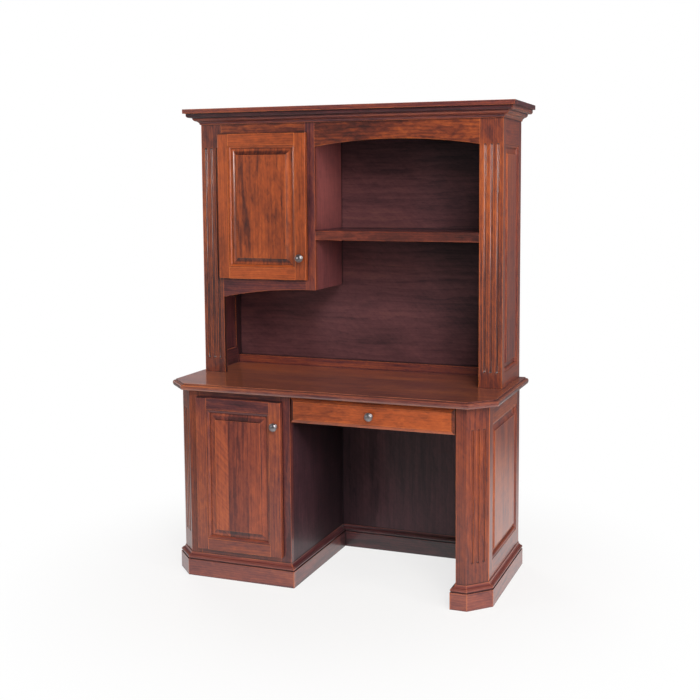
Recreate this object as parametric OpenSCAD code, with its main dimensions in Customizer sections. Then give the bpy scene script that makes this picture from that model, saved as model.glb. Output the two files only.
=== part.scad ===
// Desk with a hutch: cherry pedestal desk, one drawer, two raised panel doors and open shelving.

/* [Desk body] */
// width over the two end panels
desk_w = 1251; // [1180:1:1320]
// depth from the face frame to the back
desk_d = 536; // [500:1:580]
// height of the writing surface
desk_h = 762; // [730:1:790]
// thickness of the desktop
top_t = 24; // [20:1:30]
// overhang of the desktop at the front and the ends
top_over = 36; // [30:1:42]
// leg of the 45 degree cut on the two front corners
cant = 67; // [58:1:76]
// thickness of frame boards
frame_t = 20; // [18:0.5:24]
// thickness of inner sides and floors
side_t = 16; // [14:0.5:19]
// thickness of the desk back
back_t = 12; // [8:0.5:16]
// how far the desk back stands in from the rear edges
back_in = 7.4; // [4:0.2:12]

/* [Pedestal and leg] */
// width of the pedestal with its end frame
pedestal_w = 496.5; // [450:0.5:540]
// width of the right leg with its end frame
leg_w = 106.5; // [98:0.5:118]
// flat front of the left post beside its cant
left_flat = 46; // [40:1:54]
// width of the pedestal's inner stile
ped_stile_w = 41; // [36:1:48]
// height of the pedestal's floor
ped_floor_z = 120; // [112:1:130]
// height of the rail over the pedestal door
ped_rail_h = 36; // [32:1:44]
// height of the pedestal's shelf
ped_shelf_z = 402; // [340:1:460]
// distance of the shelf pins from the cabinet's front and rear frames
pin_in = 16; // [10:1:20]
// width of the stretchers over the kneehole
stretcher_w = 68; // [50:1:90]

/* [End frames] */
// width of the end frames' stiles
end_stile_w = 46; // [40:1:54]
// height of the end frames' top rail
end_top_rail = 75; // [66:1:86]
// height of the end frames' bottom rail
end_low_rail = 155; // [140:1:175]
// width of the coved raise around a panel
raise_w = 23; // [20:1:28]
// depth a panel's edge stands in its groove
tongue_in = 8; // [6:0.5:9]
// thickness of a panel's edge
tongue_t = 5; // [4.5:0.5:5.5]
// depth of the panel edge behind the frame's front
tongue_d = 10.5; // [10:0.5:11]
// depth of the foot of the step up to a panel's field
field_step = 3; // [2:0.5:4]
// width of the moulding on the frames' inner edges
stick_w = 12; // [10:0.5:12.5]
// depth of the small step that starts the moulding
stick_step = 1.8; // [1:0.1:2.2]
// radius of the moulding's round
stick_r = 11.5; // [11.3:0.1:13]

/* [Plinth] */
// how far the plinth boards stand out
plinth_out = 17.6; // [15:0.2:20]
// height of the plinth boards
plinth_h = 62.7; // [56:0.1:70]
// height of the neck under the cap bead
cap_neck = 3.3; // [2.5:0.1:4.5]
// radius of the cap bead
bead_r = 5.5; // [4.8:0.1:6]
// radius of the cove above the bead
cap_cove = 12; // [10:0.5:13]

/* [Fluting] */
// distance between flutes
flute_pitch = 24.3; // [22:0.1:26]
// radius of the flute cutter
flute_r = 6.4; // [5.8:0.1:7.2]
// how far the cutter's axis stands off the face
flute_off = 1; // [0.5:0.1:2]
// lower end of the desk flutes
desk_flute_low = 164; // [150:1:190]
// gap from the desk flutes up to the desktop
desk_flute_top = 82; // [70:1:110]
// gap from the desktop up to the hutch flutes
hutch_flute_low = 57; // [48:1:72]
// gap from the hutch flutes up to the cornice board
hutch_flute_top = 135; // [122:1:148]

/* [Doors] */
// thickness of both doors
door_t = 18.5; // [17:0.5:20]
// gap behind a closed door
door_gap = 1.5; // [1.5:0.1:2]
// how far a door laps over its opening
door_lap = 8.5; // [8:0.1:9.5]
// flat width of a door's stiles and rails
door_flat = 46; // [42:1:52]
// width of the raise around a door's field
door_raise = 26; // [22:1:30]
// radius of the doors' eased front edges
door_ease = 1.8; // [1.2:0.1:2.4]
// distance of a hinge from the door's end
hinge_in = 74; // [64:1:90]

/* [Knobs] */
// diameter of a knob's head
knob_d = 32; // [28:1:36]
// how far a knob stands out
knob_out = 27; // [25:0.5:30]
// height of the lower door's knob below the door's top
low_knob_drop = 91; // [80:1:110]
// height of the upper door's knob above the door's foot
high_knob_up = 88; // [78:1:105]
// distance of a door knob from the door's opening edge
knob_in = 21; // [19:0.5:25]

/* [Drawer] */
// gap around the drawer front
drawer_gap = 4; // [3:0.5:5]
// height of the drawer front
drawer_h = 93.5; // [86:0.5:100]
// gap between drawer front and desktop
drawer_drop = 8.5; // [6:0.5:11]
// how far the drawer front stands proud
drawer_proud = 6; // [4:0.5:8]
// width of the moulded edge of the drawer front
thumb_w = 13; // [11:0.5:15]
// length of the drawer sides
drawer_l = 450; // [400:5:460]
// height of the drawer sides
drawer_side_h = 64; // [56:1:66]
// thickness of the drawer sides
drawer_side_t = 12; // [10:0.5:14]
// width of one slide
slide_w = 12.7; // [12:0.1:13.5]
// height of the outer slide member
slide_h = 45; // [40:1:48]
// thickness of the slides' sheet
sheet = 1.5; // [1.3:0.1:1.8]
// clearance between slide members
slide_gap = 0.3; // [0.3:0.05:0.5]

/* [Hutch] */
// width over the hutch's sides
hutch_w = 1248; // [1180:1:1250]
// depth of the hutch from its face frame to the back
hutch_d = 286.5; // [270:0.5:310]
// overall height
total_h = 1825; // [1780:1:1860]
// width of the fluted outer stiles
outer_stile_w = 90; // [84:1:98]
// width of the middle stile
mid_stile_w = 41; // [36:1:48]
// distance of the middle stile's open side from the left end
mid_x = 496; // [460:1:530]
// foot of the cabinet above the desktop
cabinet_foot = 348.5; // [330:0.5:370]
// rise of the half arch under the cabinet
half_rise = 38; // [30:1:44]
// height of the lower rail at the middle stile
low_rail_h = 47.5; // [42:0.5:54]
// height of the top rail over the cabinet door, with the cornice
top_rail_h = 91; // [82:1:98]
// height of the arched rail at its ends
arch_end_h = 137; // [122:1:152]
// rise of the arch in the top rail
arch_rise = 26; // [20:1:32]
// upper face of the open shelf above the desktop
shelf_up = 582.5; // [540:0.5:620]
// height of the shelf's front rail
shelf_edge_h = 36; // [30:1:42]
// thickness of the shelves
shelf_t = 18; // [16:0.5:20]
// thickness of the hutch back
hutch_back_t = 8; // [6:0.5:9]
// how far the hutch back stands in from the rear edges
hutch_back_in = 4; // [3:0.5:6]
// height of the rail along the hutch back
back_rail_h = 33; // [28:1:40]
// thickness of the rail along the hutch back
back_rail_t = 19; // [16:0.5:22]
// width of the hutch sides' front stile
side_front_w = 15; // [12:1:22]
// width of the hutch sides' rear stile
side_rear_w = 42; // [36:1:50]
// height of the hutch sides' bottom rail
side_low_rail = 57; // [50:1:66]
// height of the hutch sides' top rail
side_top_rail = 138; // [125:1:150]
// height of the hutch cabinet's shelf above the cabinet floor
inner_shelf_up = 270; // [220:1:330]

/* [Cornice] */
// thickness of the top board
cornice_t = 17; // [15:0.5:20]
// overhang of the top board
cornice_over = 54.5; // [50:0.5:58]
// how far the top board passes the crown
crown_back = 10; // [8:0.5:12]
// height of the crown moulding
crown_h = 43; // [41:0.5:46]

/* [Hidden] */
$fn = 64;
door_proud = door_t + door_gap;
back_y = (desk_d + door_proud + knob_out) / 2;
face = back_y - desk_d;
half_w = desk_w / 2;
under = desk_h - top_t;
far = 6000;
turn = tan(22.5);
post_x = -half_w + cant + left_flat;
ped_x = -half_w + pedestal_w;
ped_open_x = ped_x - ped_stile_w;
leg_x = half_w - leg_w;
inner_y = face + frame_t;
kneehole_y = back_y - back_in - back_t;
end_y = face + cant;
end_open_y = end_y + end_stile_w;
end_rear_y = back_y - end_stile_w;
end_w = end_rear_y - end_open_y;
end_h = under - end_top_rail - end_low_rail;
ped_top_z = under - ped_rail_h;
cap_top = plinth_h + cap_neck + 2 * bead_r + cap_cove + 0.5;
foot = [[-half_w, back_y], [-half_w, end_y], [-half_w + cant, face], [ped_x, face],
    [ped_x, kneehole_y], [leg_x, kneehole_y], [leg_x, face], [half_w - cant, face],
    [half_w, end_y], [half_w, back_y]];
// unit steps from each footprint corner to the mitred corner one millimetre out
foot_step = [[-1, 0], [-1, -turn], [-turn, -1], [1, -1], [1, -1], [-1, -1], [-1, -1],
    [turn, -1], [1, -turn], [1, 0]];
hutch_half = hutch_w / 2;
hutch_y = back_y - hutch_d;
hutch_in_y = hutch_y + frame_t;
hutch_back_y = back_y - hutch_back_in - hutch_back_t;
board_z = total_h - cornice_t;
stile_x = hutch_half - outer_stile_w;
mid_right = -hutch_half + mid_x;
mid_left = mid_right - mid_stile_w;
foot_z = desk_h + cabinet_foot;
cab_floor_z = foot_z + low_rail_h;
cab_top_z = board_z - top_rail_h;
shelf_z = desk_h + shelf_up;
side_open_y = hutch_in_y + side_front_w;
side_open_rear = back_y - side_rear_w;
side_top_z = board_z - side_top_rail;
side_w = side_open_rear - side_open_y;
side_h = side_top_z - desk_h - side_low_rail;
crown_z = board_z - crown_h;
crown_out = cornice_over - crown_back;
crown_corner = [[-hutch_half, back_y], [-hutch_half, hutch_y], [hutch_half, hutch_y],
    [hutch_half, back_y]];
crown_step = [[-1, 0], [-1, -1], [1, -1], [1, 0]];
low_door = [post_x - door_lap, ped_open_x + door_lap, ped_floor_z - door_lap, ped_top_z + door_lap];
high_door = [-stile_x - door_lap, mid_left + door_lap, cab_floor_z - door_lap, cab_top_z + door_lap];
front_door_y = face - door_proud;
front_hutch_y = hutch_y - door_proud;
// hinge pin measured from the door's edge and from its back
pin_x = 4.5;
pin_back = 11;
pin_r = 1.75;
pin_play = 0.1;
tab_play = 0.3;
eye_r = 4;
tab_h = 8;
leaf_t = 2.4;
slot_x = pin_x + 7.2;
slot_d = pin_back + eye_r + 0.6;
drawer_low = under - drawer_drop - drawer_h;
drawer_back_y = face - drawer_proud + frame_t;
box_low = drawer_low + 10;
box_x0 = ped_x + slide_w;
box_x1 = leg_x - slide_w;
slide_z = box_low + drawer_side_h / 2;
slide_y = drawer_back_y + 2;
shelf_pin_r = 2.5;
pin_l = 8;
wood = "#7c4536";
wood_lit = "#8a523f";
panel_wood = "#8c4a33";
orange_wood = "#a8572f";
inside_wood = "#c9a06c";
pewter = "#8f8b80";
steel = "#b4b6b8";

// a profile drawn as outward distance and height, run along the line from a to b
module run(a, b) {
    translate([a[0], a[1], 0])
        rotate([0, 0, atan2(b[1] - a[1], b[0] - a[0])])
            translate([-far / 4, 0, 0])
                rotate([90, 0, 90])
                    linear_extrude(height = norm(b - a) + far / 2)
                        mirror([1, 0])
                            children();
}

// the mitred strip between two corners, out to a distance
module strip(corner, step, i, out, low, high) {
    translate([0, 0, low])
        linear_extrude(height = high - low)
            polygon([corner[i], corner[i + 1], corner[i + 1] + out * step[i + 1],
                corner[i] + out * step[i]]);
}

// desktop edge: arris, quarter round, short upright and a taper underneath
module top_profile() {
    drop = top_t / 24;
    r = 8 * drop;
    polygon([[-far / 2, under], [top_over - 3, under], [top_over, under + 7 * drop],
        [top_over, desk_h - 12 * drop], [top_over - r, desk_h - 12 * drop],
        [top_over - r, desk_h - 4 * drop], [top_over - 12, desk_h - 4 * drop],
        [top_over - 12, desk_h], [-far / 2, desk_h]]);
    translate([top_over - r, desk_h - 12 * drop])
        circle(r = r);
}

module desktop() {
    color(wood_lit)
        intersection() {
            run(foot[0], foot[1]) top_profile();
            run(foot[1], foot[2]) top_profile();
            run(foot[2], foot[7]) top_profile();
            run(foot[7], foot[8]) top_profile();
            run(foot[8], foot[9]) top_profile();
            translate([-far / 2, back_y - far, under])
                cube([far, far, top_t]);
        }
}

// three rounded flutes on a face that looks along minus y, about the origin
module flutes(low, high) {
    for (i = [-1:1])
        translate([i * flute_pitch, -flute_off, 0]) {
            translate([0, 0, low + flute_r])
                cylinder(r = flute_r, h = high - low - 2 * flute_r);
            translate([0, 0, low + flute_r])
                sphere(r = flute_r);
            translate([0, 0, high - flute_r])
                sphere(r = flute_r);
        }
}

// canted corner post, drawn for the left side
module post(flat) {
    difference() {
        translate([-half_w, face, 0])
            linear_extrude(height = under)
                polygon([[cant + flat, 0], [cant, 0], [0, cant], [frame_t * sqrt(2), cant],
                    [cant + frame_t * turn, frame_t], [cant + flat, frame_t]]);
        translate([-half_w + cant / 2, face + cant / 2, 0])
            rotate([0, 0, -45])
                flutes(desk_flute_low, under - desk_flute_top);
    }
}

module left_post() {
    color(wood_lit)
        post(left_flat);
}

module right_post() {
    color(wood_lit)
        mirror([1, 0, 0])
            post(leg_w - cant);
}

// groove that takes a panel's edge, cut round an opening of w by h seen from the front
module groove(w, h) {
    translate([-tongue_in, tongue_d, -tongue_in])
        cube([w + 2 * tongue_in, tongue_t, h + 2 * tongue_in]);
}

// cut of a frame's inner moulding, half of its section from the edge to the opening's middle
module stick_half(w) {
    difference() {
        translate([0, -1])
            square([w / 2 + 0.01, tongue_d]);
        translate([-1, stick_step])
            square([2.5, tongue_d]);
        translate([1.5, stick_step + stick_r])
            circle(r = stick_r);
    }
    translate([stick_w, -1])
        square([w / 2 - stick_w + 0.01, frame_t + 2]);
}

module stick_cut(w) {
    stick_half(w);
    translate([w, 0])
        mirror([1, 0])
            stick_half(w);
}

// opening of w by h with a moulded edge and a groove, for a frame with its front at y 0
module opening_cut(w, h) {
    intersection() {
        linear_extrude(height = h)
            stick_cut(w);
        translate([w, 0, 0])
            rotate([90, 0, -90])
                rotate([0, 0, 90])
                    linear_extrude(height = w)
                        stick_cut(h);
    }
    translate([stick_w, 0, stick_w])
        groove(w - 2 * stick_w, h - 2 * stick_w);
}

// room of the left stile beside an opening of height h, mitred through the moulding
module stile_side(h) {
    translate([0, frame_t + 1, 0])
        rotate([90, 0, 0])
            linear_extrude(height = frame_t + 2)
                polygon([[-far, -far], [0, -far], [0, 0], [stick_w, stick_w],
                    [stick_w, h - stick_w], [0, h], [0, far], [-far, far]]);
}

module stile_room(w, h) {
    stile_side(h);
    translate([w, 0, 0])
        mirror([1, 0, 0])
            stile_side(h);
}

// cut edge of a raised panel: flat edge, cove and a step up to the field
module raise_cut(rw) {
    rise = tongue_d - field_step;
    cove_r = (pow(rw - 2, 2) + pow(rise, 2)) / (2 * rise);
    translate([-tongue_in - 1, -1])
        square([tongue_in + 3, tongue_d + 1]);
    intersection() {
        translate([2, tongue_d - cove_r])
            circle(r = cove_r);
        translate([1, -1])
            square([rw - 1, tongue_d + 2]);
    }
}

module panel_profile(w, rw, proud) {
    difference() {
        translate([-tongue_in, proud])
            square([w + 2 * tongue_in, tongue_d + tongue_t - proud]);
        raise_cut(rw);
        translate([w, 0])
            mirror([1, 0])
                raise_cut(rw);
    }
}

// raised panel behind the moulding of an opening of w by h, front along minus y
module framed_panel(w, h, rw, proud) {
    translate([stick_w, 0, stick_w])
        raised_panel(w - 2 * stick_w, h - 2 * stick_w, rw, proud);
}

module raised_panel(w, h, rw, proud) {
    intersection() {
        translate([0, 0, -tongue_in])
            linear_extrude(height = h + 2 * tongue_in)
                panel_profile(w, rw, proud);
        translate([w + tongue_in, 0, 0])
            rotate([90, 0, -90])
                rotate([0, 0, 90])
                    linear_extrude(height = w + 2 * tongue_in)
                        panel_profile(h, rw, proud);
    }
}

// places the left end's outer face, with local x along the depth
module on_left(y, z) {
    translate([-half_w, y, z])
        rotate([0, 0, -90])
            mirror([1, 0, 0])
                children();
}

module end_frame() {
    difference() {
        translate([-end_stile_w, 0, -end_low_rail])
            cube([end_w + 2 * end_stile_w, frame_t, under]);
        opening_cut(end_w, end_h);
    }
}

module end_stiles() {
    color(wood)
        for (m = [0:1])
            mirror([m, 0, 0])
                on_left(end_open_y, end_low_rail)
                    intersection() {
                        end_frame();
                        stile_room(end_w, end_h);
                    }
}

module end_rails() {
    color(wood)
        for (m = [0:1])
            mirror([m, 0, 0])
                on_left(end_open_y, end_low_rail)
                    difference() {
                        end_frame();
                        stile_room(end_w, end_h);
                    }
}

module end_panels() {
    color(panel_wood)
        for (m = [0:1])
            mirror([m, 0, 0])
                on_left(end_open_y, end_low_rail)
                    framed_panel(end_w, end_h, raise_w, 1);
}

module pedestal_rails() {
    color(wood) {
        translate([post_x, face, 0])
            cube([ped_open_x - post_x, frame_t, ped_floor_z]);
        translate([post_x, face, ped_top_z])
            cube([ped_open_x - post_x, frame_t, ped_rail_h]);
    }
}

module pedestal_stile() {
    color(wood)
        translate([ped_open_x, face, 0])
            cube([ped_stile_w, frame_t, under]);
}

module pedestal_side() {
    color(wood)
        translate([ped_x - side_t, inner_y, 0])
            cube([side_t, kneehole_y - inner_y, under]);
}

module pedestal_floor() {
    color(wood)
        translate([0, 0, ped_floor_z - side_t])
            linear_extrude(height = side_t)
                polygon([[-half_w + cant + frame_t * turn, inner_y],
                    [-half_w + frame_t * sqrt(2), end_y], [-half_w + frame_t, end_y],
                    [-half_w + frame_t, kneehole_y], [ped_x - side_t, kneehole_y],
                    [ped_x - side_t, inner_y]]);
}

module pedestal_shelf() {
    color(inside_wood)
        translate([-half_w + frame_t + 1, end_y + 8, ped_shelf_z])
            cube([pedestal_w - frame_t - side_t - 2, kneehole_y - end_y - 10, side_t]);
}

// four pins that carry a shelf between two inner faces
module pins(x0, x1, y0, y1, z) {
    color(steel)
        for (y = [y0, y1]) {
            translate([x0, y, z - shelf_pin_r])
                rotate([0, 90, 0])
                    cylinder(r = shelf_pin_r, h = pin_l);
            translate([x1 - pin_l, y, z - shelf_pin_r])
                rotate([0, 90, 0])
                    cylinder(r = shelf_pin_r, h = pin_l);
        }
}

module pedestal_pins() {
    pins(-half_w + frame_t, ped_x - side_t, end_y + 2 * pin_in, end_rear_y + pin_in, ped_shelf_z);
}

module cabinet_pins() {
    pins(-hutch_half + frame_t, mid_right - shelf_t, side_open_y - side_front_w / 2,
        side_open_rear + pin_in / 2, cab_floor_z + inner_shelf_up);
}

module desk_back() {
    color(wood)
        translate([-half_w + frame_t, kneehole_y, 0])
            cube([desk_w - 2 * frame_t, back_t, under]);
}

module leg_side() {
    color(wood)
        translate([leg_x, inner_y, 0])
            cube([side_t, kneehole_y - inner_y, under]);
}

module stretchers() {
    color(wood) {
        translate([ped_x, inner_y + 2, under - side_t])
            cube([leg_x - ped_x, stretcher_w, side_t]);
        translate([ped_x, kneehole_y - stretcher_w, under - side_t])
            cube([leg_x - ped_x, stretcher_w, side_t]);
    }
}

// cap over the plinth boards: neck, bead and cove
module cap_profile() {
    bead_out = plinth_out - bead_r - 0.6;
    neck_top = plinth_h + cap_neck;
    translate([0, plinth_h])
        square([bead_out + 1, cap_neck + 1]);
    translate([bead_out, neck_top + bead_r])
        circle(r = bead_r);
    difference() {
        translate([0, neck_top])
            square([bead_out + 2.6, cap_top - neck_top]);
        translate([bead_out, neck_top - 0.1])
            square([4, bead_r]);
        translate([bead_out + 2.6, cap_top])
            circle(r = cap_cove);
    }
}

module plinth_boards() {
    color(wood_lit)
        for (i = [0:2:8])
            strip(foot, foot_step, i, plinth_out, 0, plinth_h);
}

module plinth_returns() {
    color(wood_lit)
        for (i = [1:2:7])
            strip(foot, foot_step, i, plinth_out, 0, plinth_h);
}

module cap(i) {
    intersection() {
        strip(foot, foot_step, i, plinth_out, plinth_h, cap_top);
        run(foot[i], foot[i + 1]) cap_profile();
    }
}

module plinth_caps() {
    color(wood_lit)
        for (i = [0:2:8])
            cap(i);
}

module cap_returns() {
    color(wood_lit)
        for (i = [1:2:7])
            cap(i);
}

// door board with eased front edges, left edge at x 0, front at y 0
module eased_profile(w) {
    r = door_ease;
    translate([0, r])
        square([w, door_t - r]);
    translate([r, 0])
        square([w - 2 * r, door_t]);
    translate([r, r])
        circle(r = r);
    translate([w - r, r])
        circle(r = r);
}

module eased_board(w, h) {
    intersection() {
        linear_extrude(height = h)
            eased_profile(w);
        translate([w, 0, 0])
            rotate([90, 0, -90])
                rotate([0, 0, 90])
                    linear_extrude(height = w)
                        eased_profile(h);
    }
}

module door_frame(w, h) {
    difference() {
        eased_board(w, h);
        translate([door_flat, 0, door_flat])
            opening_cut(w - 2 * door_flat, h - 2 * door_flat);
    }
}

module hinge_slots(h) {
    for (z = [hinge_in, h - hinge_in]) {
        translate([-1, door_t - slot_d, z - tab_h / 2 - tab_play])
            cube([slot_x + 1, slot_d + 1, tab_h + 2 * tab_play]);
        translate([pin_x, door_t - pin_back, z - 16])
            cylinder(r = pin_r, h = 32);
    }
}

module door_stiles(w, h) {
    intersection() {
        door_frame(w, h);
        translate([door_flat, 0, door_flat])
            stile_room(w - 2 * door_flat, h - 2 * door_flat);
    }
}

module door_rails(w, h) {
    difference() {
        door_frame(w, h);
        translate([door_flat, 0, door_flat])
            stile_room(w - 2 * door_flat, h - 2 * door_flat);
    }
}

module door_panel(w, h) {
    translate([door_flat, 0, door_flat])
        framed_panel(w - 2 * door_flat, h - 2 * door_flat, door_raise, 0.5);
}

module hinge_pins(h) {
    for (z = [hinge_in, h - hinge_in])
        translate([pin_x, door_t - pin_back, z - 16])
            cylinder(r = pin_r, h = 32);
}

// hinge leaf: plate on the opening's edge and a tab with an eye, for an edge at x 0, face y 0
module leaf() {
    eye = [pin_x - door_lap, -door_gap - pin_back];
    difference() {
        union() {
            translate([0, 3, -20])
                cube([leaf_t, frame_t - 3, 40]);
            translate([0, 0, -tab_h / 2])
                linear_extrude(height = tab_h) {
                    translate(eye)
                        circle(r = eye_r);
                    polygon([eye + [-1.35, 0.67], eye + [1.35, -0.67], [leaf_t, -3], [leaf_t, 4],
                        [0, 4], [0, -1]]);
                }
        }
        translate([eye[0], eye[1], -tab_h])
            cylinder(r = pin_r + pin_play, h = 2 * tab_h);
    }
}

module hinge_leaves() {
    color(steel) {
        for (z = [low_door[2] + hinge_in, low_door[3] - hinge_in])
            translate([post_x, face, z])
                leaf();
        for (z = [high_door[2] + hinge_in, high_door[3] - hinge_in])
            translate([-stile_x, hutch_y, z])
                leaf();
    }
}

module pad(x, y, z) {
    translate([x, y, z])
        rotate([90, 0, 0])
            cylinder(r = 3.2, h = door_gap);
}

module door_pads() {
    color("#d9d4c8") {
        for (z = [ped_floor_z + 30, ped_top_z - 30])
            pad(ped_open_x + door_lap / 2, face, z);
        for (z = [cab_floor_z + 30, cab_top_z - 30])
            pad(mid_left + door_lap / 2, hutch_y, z);
    }
}

// turned knob with a foot, neck and domed head, standing out along minus y
module knob() {
    head_r = knob_d / 2;
    dome = (pow(head_r, 2) + pow(6, 2)) / 12;
    rotate([90, 0, 0])
        rotate_extrude()
            intersection() {
                union() {
                    square([head_r * 0.6, 2]);
                    translate([head_r * 0.6 - 1, 1])
                        circle(r = 1);
                    square([head_r * 0.36, knob_out - 8]);
                    difference() {
                        translate([0, 2])
                            square([head_r * 0.54, 3]);
                        translate([head_r * 0.54, 5])
                            circle(r = 3);
                    }
                    difference() {
                        translate([0, knob_out - 14])
                            square([head_r * 0.8, 6]);
                        translate([head_r * 0.36 + 6.2, knob_out - 14.2])
                            circle(r = 6.2);
                    }
                    translate([0, knob_out - 9])
                        square([head_r - 1.5, 3]);
                    translate([head_r - 1.5, knob_out - 7.5])
                        circle(r = 1.5);
                    intersection() {
                        translate([0, knob_out - dome])
                            circle(r = dome);
                        translate([0, knob_out - 7])
                            square([head_r - 0.4, 8]);
                    }
                }
                square([head_r + 1, knob_out + 1]);
            }
}

module lower_door_stiles() {
    color(wood)
        translate([low_door[0], front_door_y, low_door[2]])
            difference() {
                door_stiles(low_door[1] - low_door[0], low_door[3] - low_door[2]);
                hinge_slots(low_door[3] - low_door[2]);
            }
}

module lower_door_rails() {
    color(wood)
        translate([low_door[0], front_door_y, low_door[2]])
            door_rails(low_door[1] - low_door[0], low_door[3] - low_door[2]);
}

module lower_door_panel() {
    color(panel_wood)
        translate([low_door[0], front_door_y, low_door[2]])
            door_panel(low_door[1] - low_door[0], low_door[3] - low_door[2]);
}

module lower_door_knob() {
    color(pewter)
        translate([low_door[1] - knob_in, front_door_y, low_door[3] - low_knob_drop])
            knob();
}

module lower_hinge_pins() {
    color(steel)
        translate([low_door[0], front_door_y, low_door[2]])
            hinge_pins(low_door[3] - low_door[2]);
}

// drawer front section: convex thumb edge and a small step up to the flat
module thumb_cut() {
    r = 20;
    difference() {
        translate([-1, -1])
            square([thumb_w + 1, 12]);
        translate([thumb_w, 1.5 + r])
            circle(r = r);
    }
}

module drawer_profile(w) {
    difference() {
        square([w, frame_t]);
        thumb_cut();
        translate([w, 0])
            mirror([1, 0])
                thumb_cut();
    }
}

module drawer_front() {
    w = leg_x - ped_x - 2 * drawer_gap;
    color(orange_wood)
        translate([ped_x + drawer_gap, face - drawer_proud, drawer_low])
            intersection() {
                linear_extrude(height = drawer_h)
                    drawer_profile(w);
                translate([w, 0, 0])
                    rotate([90, 0, -90])
                        rotate([0, 0, 90])
                            linear_extrude(height = w)
                                drawer_profile(drawer_h);
            }
}

module drawer_sides() {
    color(inside_wood)
        difference() {
            union() {
                translate([box_x0, drawer_back_y, box_low])
                    cube([drawer_side_t, drawer_l, drawer_side_h]);
                translate([box_x1 - drawer_side_t, drawer_back_y, box_low])
                    cube([drawer_side_t, drawer_l, drawer_side_h]);
            }
            translate([box_x0 + drawer_side_t / 2, drawer_back_y - 1, box_low + 8])
                cube([box_x1 - box_x0 - drawer_side_t, drawer_l + 2, 6]);
        }
}

module drawer_back() {
    color(inside_wood)
        translate([box_x0 + drawer_side_t, drawer_back_y + drawer_l - drawer_side_t, box_low + 14])
            cube([box_x1 - box_x0 - 2 * drawer_side_t, drawer_side_t, drawer_side_h - 14]);
}

module drawer_bottom() {
    color(inside_wood)
        translate([box_x0 + drawer_side_t / 2, drawer_back_y, box_low + 8])
            cube([box_x1 - box_x0 - drawer_side_t, drawer_l, 6]);
}

module drawer_knob() {
    color(pewter)
        translate([(ped_x + leg_x) / 2, face - drawer_proud, drawer_low + drawer_h / 2])
            knob();
}

// channel of sheet, web at u from 0, lips to width deep and z within half high
module channel(web, deep, high) {
    translate([web, -high])
        square([sheet, 2 * high]);
    for (s = [-1, 1])
        translate([web, s > 0 ? high - sheet : -high])
            square([deep, sheet]);
}

module slide_member(side, web, deep, high, flip) {
    origin = side > 0 ? ped_x : leg_x;
    translate([origin, slide_y, slide_z])
        scale([side, 1, 1])
            rotate([-90, 0, 0])
                linear_extrude(height = drawer_l - 4)
                    translate([flip ? slide_w : 0, 0])
                        mirror([flip ? 1 : 0, 0])
                            channel(web, deep, high);
}

module slide_outers() {
    color(steel)
        for (side = [-1, 1])
            slide_member(side, 0, slide_w - 3.2, slide_h / 2, false);
}

module slide_middle(side) {
    slide_member(side, sheet + slide_gap, slide_w - 5, slide_h / 2 - sheet - slide_gap, false);
}

module slide_middle_left() {
    color(steel)
        slide_middle(1);
}

module slide_middle_right() {
    color(steel)
        slide_middle(-1);
}

module slide_inners() {
    color(steel)
        for (side = [-1, 1])
            slide_member(side, 0, slide_w - 5.5, slide_h / 2 - 2 * sheet - 2 * slide_gap, true);
}

module hutch_outer_stiles() {
    color(wood)
        for (m = [0:1])
            mirror([m, 0, 0])
                difference() {
                    translate([-hutch_half, hutch_y, desk_h])
                        cube([outer_stile_w, frame_t, board_z - desk_h]);
                    translate([-hutch_half + outer_stile_w / 2, hutch_y, 0])
                        flutes(desk_h + hutch_flute_low, board_z - hutch_flute_top);
                }
}

module hutch_mid_stile() {
    color(wood)
        translate([mid_left, hutch_y, foot_z])
            cube([mid_stile_w, frame_t, board_z - foot_z]);
}

module hutch_top_rails() {
    bay = stile_x - mid_right;
    arch_r = (pow(bay / 2, 2) + pow(arch_rise, 2)) / (2 * arch_rise);
    color(wood) {
        translate([-stile_x, hutch_y, cab_top_z])
            cube([mid_left + stile_x, frame_t, top_rail_h]);
        difference() {
            translate([mid_right, hutch_y, board_z - arch_end_h])
                cube([bay, frame_t, arch_end_h]);
            translate([mid_right + bay / 2, hutch_y - 1, board_z - arch_end_h + arch_rise - arch_r])
                rotate([-90, 0, 0])
                    cylinder(r = arch_r, h = frame_t + 2, $fn = 128);
        }
    }
}

module hutch_lower_rail() {
    span = mid_left + stile_x;
    arch_r = (pow(span, 2) + pow(half_rise, 2)) / (2 * half_rise);
    color(wood)
        difference() {
            translate([-stile_x, hutch_y, foot_z - half_rise])
                cube([span, frame_t, half_rise + low_rail_h]);
            translate([mid_left, hutch_y - 1, foot_z - arch_r])
                rotate([-90, 0, 0])
                    cylinder(r = arch_r, h = frame_t + 2, $fn = 128);
        }
}

module on_hutch_left(y, z) {
    translate([-hutch_half, y, z])
        rotate([0, 0, -90])
            mirror([1, 0, 0])
                children();
}

module side_frame() {
    difference() {
        translate([-side_front_w, 0, -side_low_rail])
            cube([side_front_w + side_w + side_rear_w, frame_t, board_z - desk_h]);
        opening_cut(side_w, side_h);
    }
}

module hutch_side_stiles() {
    color(wood)
        for (m = [0:1])
            mirror([m, 0, 0])
                on_hutch_left(side_open_y, desk_h + side_low_rail)
                    intersection() {
                        side_frame();
                        stile_room(side_w, side_h);
                    }
}

module hutch_side_rails() {
    color(wood)
        for (m = [0:1])
            mirror([m, 0, 0])
                on_hutch_left(side_open_y, desk_h + side_low_rail)
                    difference() {
                        side_frame();
                        stile_room(side_w, side_h);
                    }
}

module hutch_side_panels() {
    color(panel_wood)
        for (m = [0:1])
            mirror([m, 0, 0])
                on_hutch_left(side_open_y, desk_h + side_low_rail)
                    framed_panel(side_w, side_h, raise_w, 1);
}

module hutch_partition() {
    color(wood)
        translate([mid_right - shelf_t, hutch_in_y, foot_z])
            cube([shelf_t, hutch_back_y - hutch_in_y, board_z - foot_z]);
}

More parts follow.
